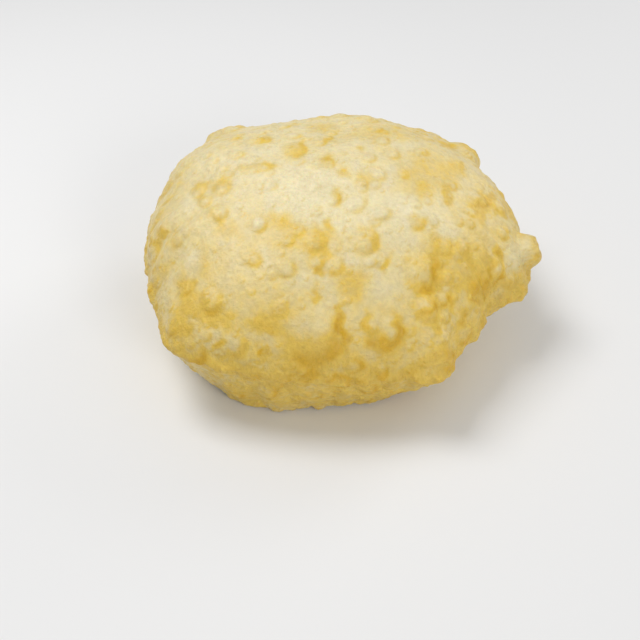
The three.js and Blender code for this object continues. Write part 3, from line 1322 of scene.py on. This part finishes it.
@dataclass(frozen=True)
class FriedCrust:
    """Deep-fried leavened dough: pale cream, golden in patches, lightly oiled, with painted shade in its
    fine grain, at the feet of its blisters and towards the bottom (linear colours).
    """

    pale: Colour = (0.87, 0.78, 0.51, 1)
    cream: Shade = Shade((0.82, 0.68, 0.33, 1), -0.1, 0.36)
    gold: Shade = Shade((0.79, 0.555, 0.10, 1), 0.22, 0.80)
    deep: Shade = Shade((0.72, 0.44, 0.025, 1), 0.80, 1.45)
    depth: Depth = Depth()
    # Painted shade of the fine relief: the tint that darkens the low spots of the grain and the mottle, how
    # strongly each darkens, and the noise range that marks them.
    painted_shade_tint: tuple[float, float, float] = (0.74, 0.70, 0.60)
    pore_shade_share: float = 0.45
    mottle_shade_share: float = 0.30
    shade_noise_range: tuple[float, float] = (0.3, 0.7)
    roughness_low: float = 0.32
    roughness_high: float = 0.54
    lanes: Noise = Noise(0.030, 2)
    mottle: Noise = Noise(0.008, 3)
    grain: Noise = Noise(0.0025, 4, 0.62)
    folds: Noise = Noise(0.0055, 3, 0.6)
    grain_bump: float = 0.0009
    grain_least: float = 0.5
    crease_from: float = 0.86
    crease_bump: float = 0.00008
    pimples: tuple[Pimples, ...] = (
        Pimples(0.0038, 0.60, 0.00045),
        Pimples(0.0020, 0.85, 0.00020),
    )

    def build(self) -> bpy.types.Material:
        """Build the crust from nodes.

        Returns:
            The material.
        """
        material = bpy.data.materials.new("fried_crust")
        material.use_nodes = True
        material.node_tree.nodes.clear()
        sheet = Sheet(material.node_tree)
        where = sheet.out(sheet.node("ShaderNodeTexCoord"), "Object")
        lanes, mottle, grain, folds = (
            noise.on(sheet, where) for noise in (self.lanes, self.mottle, self.grain, self.folds)
        )
        bubbly = sheet.attribute("bubbly")
        ridge = 1 - sheet.math("ABSOLUTE", folds * 2.0 - 1.0)
        crease = sheet.smooth(ridge, self.crease_from, 1.0) * bubbly
        bumps = [pimples.height(sheet, where, bubbly) for pimples in self.pimples]
        height = (grain - 0.5) * (bubbly + self.grain_least) * self.grain_bump
        height = height - crease * self.crease_bump
        for pimples, bump in zip(self.pimples, bumps, strict=True):
            height = height + bump * pimples.bump

        share = self.depth
        depth = sheet.attribute("gold") * share.gold + sheet.attribute("blister") * share.blister
        # Painted shade deepens the browning towards the bottom and the front right.
        depth = depth + sheet.attribute("pale") * share.pale + sheet.attribute("fall") * share.fall
        # Painted shade at the lower right foot of each blister, stronger where the skin is bubbly.
        crescent = sheet.attribute("crescent") * (bubbly * share.bubbly_painted_shade + share.crescent)
        depth = depth + share.plain + crescent + (lanes - 0.5) * share.lanes
        depth = depth + (mottle - 0.5) * share.mottle + (grain - 0.5) * share.grain
        depth = depth + crease * share.crease + sum(bumps) * share.pimple

        base = self.pale
        for shade in (self.cream, self.gold, self.deep):
            base = sheet.colour(sheet.smooth(depth, shade.starts, shade.full), base, shade.colour)
        # Painted shade: the low spots of the grain and of the mottle are darkened, standing in for shade in
        # the fine relief.
        pore_shade = 1 - sheet.smooth(grain, *self.shade_noise_range)
        mottle_shade = 1 - sheet.smooth(mottle, *self.shade_noise_range)
        shaded = sheet.vector("MULTIPLY", base, self.painted_shade_tint)
        base = sheet.colour(pore_shade * self.pore_shade_share + mottle_shade * self.mottle_shade_share, base, shaded)

        bump = sheet.node("ShaderNodeBump", None, {"Strength": 1.0, "Distance": 1.0, "Height": height})
        finish = {
            "Base Color": base,
            "Roughness": self.roughness_low + (self.roughness_high - self.roughness_low) * mottle,
            "Normal": sheet.out(bump),
            "Subsurface Weight": 0.25,
            "Subsurface Radius": (1.0, 0.6, 0.25),
            "Subsurface Scale": 0.003,
            "Specular IOR Level": 0.4,
            "Coat Weight": 0.08,
            "Coat Roughness": 0.3,
        }
        shader = sheet.node("ShaderNodeBsdfPrincipled", None, finish)
        sheet.node("ShaderNodeOutputMaterial", None, {"Surface": sheet.out(shader)})
        return material


@dataclass(frozen=True)
class PaleFloor:
    """The plain matt ground that the bread stands on."""

    colour: Colour = (0.80, 0.80, 0.80, 1)
    roughness: float = 0.7

    def build(self) -> bpy.types.Material:
        """Set up the floor's finish.

        Returns:
            The material.
        """
        material = bpy.data.materials.new("pale_floor")
        material.use_nodes = True
        shader = material.node_tree.nodes["Principled BSDF"]
        shader.inputs["Base Color"].default_value = self.colour
        shader.inputs["Roughness"].default_value = self.roughness
        return material


# --- Fine relief, by Geometry Nodes ---


@dataclass(frozen=True)
class BubbleLayer:
    """One size of small bubbles in the skin (metres, and how many on a square metre)."""

    name: str
    density: float
    least: float
    most: float
    rise: float
    seed: int


@dataclass(frozen=True)
class FineRelief:
    """Small bubbles, wrinkles, the crinkle of the edges and painted shade at the bubbles' feet, laid over
    the mesh by one node tree.

    The ring of painted shade at the foot of a bubble starts, is deepest and ends at three distances, in its
    own radii.
    """

    layers: tuple[BubbleLayer, ...] = (
        BubbleLayer("blister", 11000.0, 0.0018, 0.0050, 0.19, 11),
        BubbleLayer("pimple", 50000.0, 0.0010, 0.0022, 0.22, 12),
    )
    wrinkle_size: float = 0.009
    wrinkle_rise: float = 0.0014
    wrinkle_detail: float = 1.5
    streak: float = 0.4
    crinkle_size: float = 0.0055
    crinkle_rise: float = 0.0036
    crinkle_detail: float = 1.0
    dome_power: float = 1.3
    ring: tuple[float, float, float] = (0.4, 0.85, 1.3)
    painted_shade_plain: float = 0.1
    painted_shade_turned: float = 0.5

    def tree(self) -> tuple[bpy.types.NodeTree, dict[str, str]]:
        """Build the node tree.

        Returns:
            The tree, and the identifier of each named input.
        """
        tree = bpy.data.node_groups.new("fine_relief", "GeometryNodeTree")
        inputs = {}
        tree.interface.new_socket("Geometry", in_out="INPUT", socket_type="NodeSocketGeometry")
        for name in self.values():
            socket = tree.interface.new_socket(name, in_out="INPUT", socket_type="NodeSocketFloat")
            inputs[name] = socket.identifier
        socket = tree.interface.new_socket("Crust", in_out="INPUT", socket_type="NodeSocketMaterial")
        inputs["Crust"] = socket.identifier
        tree.interface.new_socket("Geometry", in_out="OUTPUT", socket_type="NodeSocketGeometry")

        sheet = MeshSheet(tree)
        given = sheet.node("NodeGroupInput")
        mesh = sheet.out(given, "Geometry")
        where = sheet.out(sheet.node("GeometryNodeInputPosition"))
        normal = sheet.out(sheet.node("GeometryNodeInputNormal"))
        hold, bubbly, edge, crescent = map(sheet.attribute, ("hold", "bubbly", "edge", "crescent"))

        stretched = sheet.vector("MULTIPLY", where, (1.0, self.streak, 1.0))
        wrinkles = sheet.noise(stretched, sheet.out(given, "Wrinkle size"), self.wrinkle_detail)
        crinkles = sheet.noise(where, sheet.out(given, "Crinkle size"), self.crinkle_detail)
        height = (wrinkles - 0.5) * sheet.out(given, "Wrinkle rise")
        height = height + (crinkles - 0.5) * edge * sheet.out(given, "Crinkle rise")

        kept = mesh
        for layer in self.layers:
            dome, size, ring = self.bubbles(sheet, layer, mesh, where, bubbly)
            height = height + dome * size * sheet.out(given, f"{layer.name} rise")
            kept = sheet.stored(kept, layer.name, dome)
            # Painted shade at the lower right foot of each bubble, joined to that of the blisters.
            crescent = sheet.math("MAXIMUM", crescent, ring * (size / layer.most) * hold)
        kept = sheet.stored(kept, "crescent", crescent)

        settings, values = {"operation": "SCALE"}, {0: normal, "Scale": height * hold}
        offset = sheet.out(sheet.node("ShaderNodeVectorMath", settings, values))
        moved = sheet.node("GeometryNodeSetPosition", None, {"Geometry": kept, "Offset": offset})
        real = sheet.node("GeometryNodeRealizeInstances", None, {0: sheet.out(moved)})
        values = {"Geometry": sheet.out(real), "Material": sheet.out(given, "Crust")}
        dressed = sheet.node("GeometryNodeSetMaterial", None, values)
        sheet.node("NodeGroupOutput", None, {0: sheet.out(dressed)})
        return tree, inputs

    def values(self) -> dict[str, float]:
        """List the sizes that the tree takes in.

        Returns:
            Each size under the name of its input.
        """
        return {f"{layer.name} rise": layer.rise for layer in self.layers} | {
            "Wrinkle size": self.wrinkle_size,
            "Wrinkle rise": self.wrinkle_rise,
            "Crinkle size": self.crinkle_size,
            "Crinkle rise": self.crinkle_rise,
        }

    def bubbles(
        self, sheet: MeshSheet, layer: BubbleLayer, mesh: Wire, where: Wire, bubbly: Wire
    ) -> tuple[Wire, Wire, Wire]:
        """Add one layer of bubbles.

        Args:
            sheet: The tree to build in.
            layer: The sizes of the bubbles.
            mesh: The skin that they are spread over.
            where: The position of each point of the skin.
            bubbly: How many bubbles a place has, 0 to 1.

        Returns:
            For each point, how high it lies on the nearest bubble (0 to 1), that bubble's radius, and
            the painted shade at its lower right foot.
        """
        values = {"Mesh": mesh, "Density": bubbly * layer.density, "Seed": layer.seed}
        settings = {"distribute_method": "RANDOM"}
        points = sheet.out(sheet.node("GeometryNodeDistributePointsOnFaces", settings, values), "Points")
        values = {2: layer.least, 3: layer.most, "Seed": layer.seed}
        chance = sheet.out(sheet.node("FunctionNodeRandomValue", {"data_type": "FLOAT"}, values), 1)
        values = {"Geometry": points}
        nearest = sheet.out(sheet.node("GeometryNodeSampleNearest", {"domain": "POINT"}, values))
        offset = sheet.vector("SUBTRACT", where, sheet.sampled("FLOAT_VECTOR", points, where, nearest))
        size = sheet.sampled("FLOAT", points, chance, nearest)
        apart = sheet.vector("LENGTH", offset, output="Value") / size
        dome = sheet.math("MAXIMUM", 1 - apart * apart, 0.0) ** self.dome_power
        # Painted shade in a ring at the lower right foot of the bubble.
        way = sheet.vector("NORMALIZE", offset)
        aside = sheet.vector("DOT_PRODUCT", way, PAINTED_SHADE_WAY, output="Value")
        inner, top, outer = self.ring
        ring = sheet.smooth(apart, inner, top) * (1 - sheet.smooth(apart, top, outer))
        return dome, size, ring * (sheet.smooth(aside, *PAINTED_SHADE_TURN) * self.painted_shade_turned + self.painted_shade_plain)

    def laid_on(self, source: bpy.types.Object, crust: bpy.types.Material) -> bpy.types.Mesh:
        """Run the tree on an object.

        Args:
            source: The object with the plain skin.
            crust: The material of the result.

        Returns:
            The finished plain mesh. The modifier is gone from the object.
        """
        tree, inputs = self.tree()
        modifier = source.modifiers.new("fine_relief", "NODES")
        modifier.node_group = tree
        for name, value in self.values().items():
            modifier[inputs[name]] = value
        modifier[inputs["Crust"]] = crust
        graph = bpy.context.evaluated_depsgraph_get()
        mesh = bpy.data.meshes.new_from_object(
            source.evaluated_get(graph), preserve_all_data_layers=True, depsgraph=graph
        )
        source.modifiers.remove(modifier)
        return mesh


# --- The bread ---


def put_in_scene(name: str, data: bpy.types.ID) -> bpy.types.Object:
    """Make a new object and put it in the scene.

    Args:
        name: The object's name.
        data: Its mesh, light or camera.

    Returns:
        The object.
    """
    thing = bpy.data.objects.new(name, data)
    bpy.context.scene.collection.objects.link(thing)
    return thing


@dataclass
class Rows:
    """The rows of the mesh: rings of points from the foot up to the crown, stitched together."""

    form: Form
    edge: float = 1.02
    fewest: int = 6
    probe_turn: float = 15.0
    probe_rows: int = 4001

    def around(self) -> Array:
        """Return the azimuths where the form is measured."""
        return np.radians(np.arange(0, 360, self.probe_turn))

    def latitudes(self) -> Array:
        """Space the rows evenly along the skin, from the foot up.

        Returns:
            The latitude of each row in radians, without the crown.
        """
        lowest = self.form.wall_share + (1 - self.form.wall_share) * self.form.foot_curve_share
        fine = np.linspace(-RIGHT_ANGLE * lowest, RIGHT_ANGLE, self.probe_rows)
        grid = self.form.points(*np.meshgrid(self.around(), fine))
        step = np.linalg.norm(np.diff(grid, axis=0), axis=2).mean(axis=1)
        run = np.concatenate([[0], np.cumsum(step)])
        count = round(run[-1] / (self.edge * math.sqrt(3) / 2))
        return np.interp(np.linspace(0, run[-1], count + 1)[:-1], run, fine)

    def rings(self) -> tuple[Array, Array, list[int]]:
        """Spread points along the rows, with one more on the crown.

        Returns:
            The azimuth and latitude of every point, and how many each row has.
        """
        azimuths, latitudes, counts = [], [], []
        around = self.around()
        for row, latitude in enumerate(self.latitudes()):
            ring = self.form.points(around, np.full_like(around, latitude))
            radius = np.linalg.norm(ring[:, :2], axis=1).mean()
            count = max(self.fewest, round(math.tau * radius / self.edge))
            azimuths.append(math.tau * (np.arange(count) + (row % 2) / 2) / count)
            latitudes.append(np.full(count, latitude))
            counts.append(count)
        azimuths.append(np.array([0.0]))
        latitudes.append(np.array([RIGHT_ANGLE]))
        return np.concatenate(azimuths), np.concatenate(latitudes), counts

    @staticmethod
    def stitched(lower: range, upper: range, row: int) -> list[tuple[int, int, int]]:
        """Return the triangles between two rows, always closing the nearer pair.

        Args:
            lower: The numbers of the lower row's points.
            upper: The numbers of the upper row's points.
            row: The number of the lower row.

        Returns:
            The triangles, facing out.
        """
        faces = []
        i = j = 0
        low_start, high_start = (row % 2) / 2, ((row + 1) % 2) / 2
        while i < len(lower) or j < len(upper):
            a, b = lower[i % len(lower)], upper[j % len(upper)]
            low_next = (low_start + i + 1) / len(lower)
            high_next = (high_start + j + 1) / len(upper)
            if j >= len(upper) or (i < len(lower) and low_next <= high_next):
                i += 1
                faces.append((a, lower[i % len(lower)], b))
            else:
                j += 1
                faces.append((a, upper[j % len(upper)], b))
        return faces

    def faces(self, counts: list[int]) -> Array:
        """Stitch the rows together, and close the crown and the base.

        Args:
            counts: How many points each row has.

        Returns:
            Every triangle of the closed skin.
        """
        starts = np.concatenate([[0], np.cumsum(counts)])
        rows = [range(starts[i], starts[i + 1]) for i in range(len(counts))]
        faces = []
        for row in range(len(rows) - 1):
            faces.extend(self.stitched(rows[row], rows[row + 1], row))
        top, crown = rows[-1], int(starts[-1])
        faces.extend((a, top[(i + 1) % len(top)], crown) for i, a in enumerate(top))
        base = rows[0]
        faces.extend((base[0], base[i + 1], base[i]) for i in range(1, len(base) - 1))
        return np.array(faces, dtype=np.int32)


@dataclass
class Bread:
    """The whole puffed bread: one skin, closed all round."""

    name: str = "bread_skin"
    ease: float = 0.0015
    form: Form = Form()
    masks: Masks = Masks()
    relief: FineRelief = FineRelief()
    crust: FriedCrust = FriedCrust()

    @staticmethod
    def normals(point: Array, faces: Array) -> Array:
        """Work out which way the skin faces.

        Args:
            point: Every point.
            faces: Every triangle.

        Returns:
            The normal of each point, weighted by the area of the triangles round it.
        """
        a, b, c = (point[faces[:, k]] for k in range(3))
        area = np.cross(b - a, c - a)
        total = np.zeros_like(point)
        for k in range(3):
            for axis in range(3):
                total[:, axis] += np.bincount(faces[:, k], area[:, axis], len(point))
        return unit(total)

    def skin_mesh(self) -> bpy.types.Mesh:
        """Make the skin with the relief of the solid.

        Returns:
            The mesh, with the masks as its named numbers.
        """
        skin = Skin(self.form)
        rows = Rows(self.form)
        azimuth, latitude, counts = rows.rings()
        faces = rows.faces(counts)
        base = self.form.points(azimuth, latitude)
        lift = skin.relief(azimuth, latitude, base)
        shift, _ = skin.nub_shift(base)
        point = base + self.normals(base, faces) * lift[:, None] + shift
        point[:, 2] = np.maximum(point[:, 2], 0)

        mesh = bpy.data.meshes.new(self.name)
        mesh.vertices.add(len(point))
        mesh.vertices.foreach_set("co", (point * MM).ravel())
        mesh.loops.add(faces.size)
        mesh.loops.foreach_set("vertex_index", faces.ravel())
        mesh.polygons.add(len(faces))
        mesh.polygons.foreach_set("loop_start", np.arange(0, faces.size, 3, dtype=np.int32))
        mesh.update(calc_edges=True)
        mesh.validate()
        mesh.shade_smooth()
        for name, values in self.masks.on(skin, azimuth, latitude, base).items():
            mesh.attributes.new(name, "FLOAT", "POINT").data.foreach_set("value", values)
        return mesh

    def keep_inside(self, mesh: bpy.types.Mesh) -> None:
        """Ease the fine relief back where it would stand out of the solid's box.

        Args:
            mesh: The finished skin, which is changed.
        """
        point = np.empty(len(mesh.vertices) * 3)
        mesh.vertices.foreach_get("co", point)
        point = point.reshape(-1, 3)
        low, high = (np.array(corner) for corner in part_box("bhatura"))
        over = np.maximum(point - (high - self.ease), 0)
        under = np.maximum(low + self.ease - point, 0)
        under[:, 2] = 0
        point -= over - self.ease * (1 - np.exp(-over / self.ease))
        point += under - self.ease * (1 - np.exp(-under / self.ease))
        point[:, 2] = np.maximum(point[:, 2], low[2])
        mesh.vertices.foreach_set("co", point.ravel())
        mesh.update()

    def build(self) -> None:
        """Make the bread, put it on its body and let it stand for the solid."""
        plain = put_in_scene("plain_skin", self.skin_mesh())
        mesh = self.relief.laid_on(plain, self.crust.build())
        bpy.data.objects.remove(plain)
        mesh.name = self.name
        self.keep_inside(mesh)
        piece = put_in_scene(self.name, mesh)
        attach(piece, "root")
        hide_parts("bhatura")
        log.info("%s: %d triangles", piece.name, len(mesh.polygons))


# --- Studio ---


@dataclass(frozen=True)
class Softbox:
    """A square soft light that looks at a point (metres, watts)."""

    name: str
    place: tuple[float, float, float]
    size: float
    power: float

    def build(self, target: Vector) -> None:
        """Hang the light.

        Args:
            target: The point that it shines on.
        """
        data = bpy.data.lights.new(self.name, "AREA")
        data.shape = "SQUARE"
        data.size = self.size
        data.energy = self.power
        light = put_in_scene(self.name, data)
        light.location = self.place
        light.rotation_euler = (target - Vector(self.place)).to_track_quat("-Z", "Y").to_euler()


@dataclass
class Studio:
    """A plain pale floor, soft light from above, and the camera at the photograph's angle."""

    view: PhotoView = PhotoView()
    sensor: float = 36.0
    clip_start: float = 0.01
    target: tuple[float, float, float] = (0.0, 0.0, 0.05)
    floor_half: float = 3.0
    world_colour: Colour = (1.0, 1.0, 1.0, 1)
    world_strength: float = 0.40
    lights: tuple[Softbox, ...] = (
        Softbox("overhead", (-0.42, 0.15, 0.92), 0.45, 5.7),
        Softbox("front_fill", (0.65, -0.95, 0.6), 0.5, 4.9),
        Softbox("back_right", (0.8, 0.7, 0.6), 0.5, 2.7),
    )

    def camera(self) -> None:
        """Set up the camera, which looks along +Y and down, turned a little about its own axis."""
        data = bpy.data.cameras.new("photo_camera")
        data.sensor_width = self.sensor
        data.lens = self.sensor * self.view.focal / self.view.frame
        data.clip_start = self.clip_start
        camera = put_in_scene("photo_camera", data)
        turned = Matrix(self.view.axes().tolist()).transposed().to_4x4()
        camera.matrix_world = Matrix.Translation(self.view.place) @ turned
        bpy.context.scene.camera = camera

    def floor(self) -> None:
        """Lay a flat square."""
        half = self.floor_half
        mesh = bpy.data.meshes.new("studio_floor")
        corners = [(-half, -half, 0), (half, -half, 0), (half, half, 0), (-half, half, 0)]
        mesh.from_pydata(corners, [], [(0, 1, 2, 3)])
        mesh.materials.append(PaleFloor().build())
        floor = put_in_scene("studio_floor", mesh)

    def world(self) -> None:
        """Fill the room with even pale light."""
        world = bpy.data.worlds.new("studio_world")
        world.use_nodes = True
        background = world.node_tree.nodes["Background"]
        background.inputs["Color"].default_value = self.world_colour
        background.inputs["Strength"].default_value = self.world_strength
        bpy.context.scene.world = world

    def build(self) -> None:
        """Set up everything round the bread."""
        self.camera()
        self.floor()
        self.world()
        for softbox in self.lights:
            softbox.build(Vector(self.target))
        bpy.context.scene.view_settings.view_transform = "Standard"
        log.info("studio: %d lights", len(self.lights))


def main() -> None:
    """Build the studio and the bread."""
    logging.basicConfig(level=logging.INFO, format="%(name)s: %(message)s")
    Studio().build()
    Bread().build()


if __name__ == "__main__":
    main()
